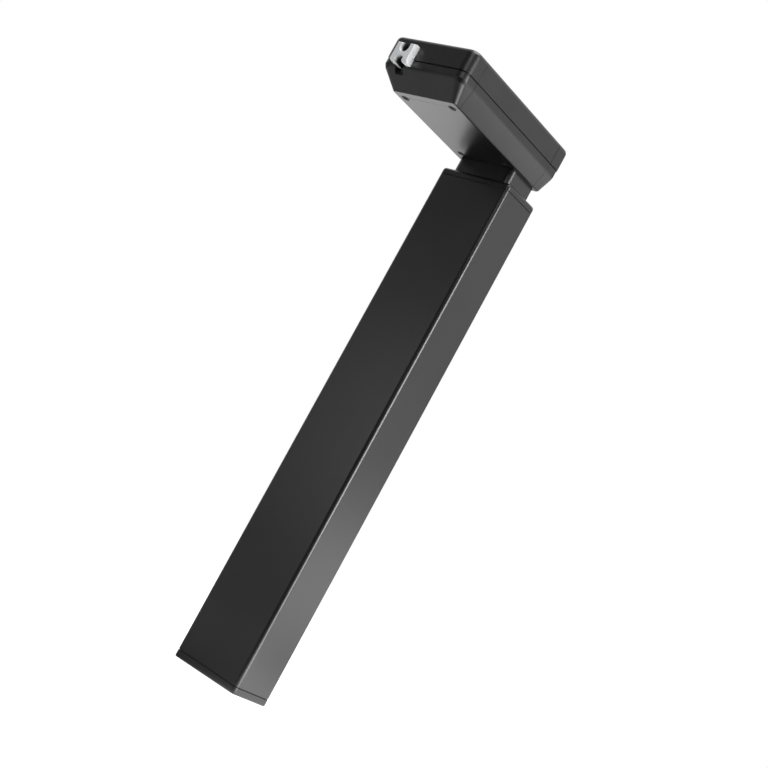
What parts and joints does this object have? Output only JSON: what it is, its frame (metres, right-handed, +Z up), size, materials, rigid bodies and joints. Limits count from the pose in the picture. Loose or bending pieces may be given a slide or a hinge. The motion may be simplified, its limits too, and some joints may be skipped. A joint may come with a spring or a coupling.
{
  "type": "electric lifting column",
  "caption": "Two-part telescopic desk leg: a black rectangular tube, an inner tube driven up by a screw, and an overhanging motor housing on top.",
  "frame": {"origin": "centre of the foot plate's lower face, on the column's axis", "axes": "+Z up the column, +X along the wide face of the tube, -Y towards the housing's overhanging front end"},
  "size_m": [0.094, 0.17, 0.5404],
  "materials": {
    "tube_paint": "satin black powder coat",
    "foot_paint": "satin black powder coat",
    "collar_plastic": "fine satin black moulded nylon",
    "housing_plastic": "satin dark grey-black moulded plastic",
    "rail_aluminium": "satin anodised extrusion",
    "zinc_steel": "bright zinc-plated steel",
    "screw_steel": "black oxide screws",
    "glide_plastic": "natural acetal",
    "wheel_plastic": "natural nylon",
    "gearbox_alloy": "die-cast, as cast",
    "bearing_steel": "ground bearing steel",
    "magnet_ceramic": "dark ferrite and carbon",
    "lamination_steel": "stacked lamination edges",
    "copper": "copper",
    "motor_plastic": "black glass-filled nylon",
    "board_laminate": "green circuit board"
  },
  "bodies": {
    "base": {"foot_plate": "foot_paint", "outer_tube": "tube_paint", "guide_collar": "collar_plastic", "upper_glides": "glide_plastic", "nut_tube": "zinc_steel", "spindle_nut": "glide_plastic", "nut_pins": "screw_steel", "foot_screws": "screw_steel"},
    "carriage": {"brushes": "magnet_ceramic", "cable_socket": "motor_plastic", "carrier_channel": "zinc_steel", "cover_centre": "housing_plastic", "cover_front": "housing_plastic", "cover_rear": "housing_plastic", "gearbox_lower": "gearbox_alloy", "gearbox_screws": "screw_steel", "gearbox_upper": "gearbox_alloy", "inner_tube": "tube_paint", "lower_glides": "glide_plastic", "motor_can": "zinc_steel", "motor_end_cap": "motor_plastic", "motor_magnets": "magnet_ceramic", "motor_screws": "screw_steel", "mounting_rail": "rail_aluminium", "rail_screws": "screw_steel", "rail_supports": "zinc_steel", "sensor_board": "board_laminate", "socket_pins": "copper", "thrust_bearing": "bearing_steel", "top_bearing": "bearing_steel", "tray_centre": "housing_plastic", "tray_front": "housing_plastic", "tray_rear": "housing_plastic", "tray_screws": "screw_steel", "worm_bearings": "bearing_steel"},
    "screw": {"spindle": "zinc_steel", "end_stop": "glide_plastic", "end_stop_screw": "screw_steel", "wheel_key": "zinc_steel", "worm_wheel": "wheel_plastic"},
    "rotor": {"worm_shaft": "zinc_steel", "armature": "lamination_steel", "windings": "copper", "commutator": "copper", "sensor_magnet": "magnet_ceramic"}
  },
  "joints": [
    {"name": "lift", "type": "slide", "parent": "base", "child": "carriage", "axis": [0, 0, 1], "range_m": [0, 0.3]},
    {"name": "screw_turn", "type": "hinge", "parent": "carriage", "child": "screw", "pos_m": [0, 0, 0.5204], "axis": [0, 0, 1], "range_deg": [-1, 9001]},
    {"name": "rotor_turn", "type": "hinge", "parent": "carriage", "child": "rotor", "pos_m": [0.021, 0, 0.5204], "axis": [0, -1, 0], "range_deg": [-10, 90010]}
  ],
  "couplings": [
    {"joint": "screw_turn", "follows": "lift", "rad_per_m": 523.6},
    {"joint": "rotor_turn", "follows": "lift", "rad_per_m": 5236}
  ]
}
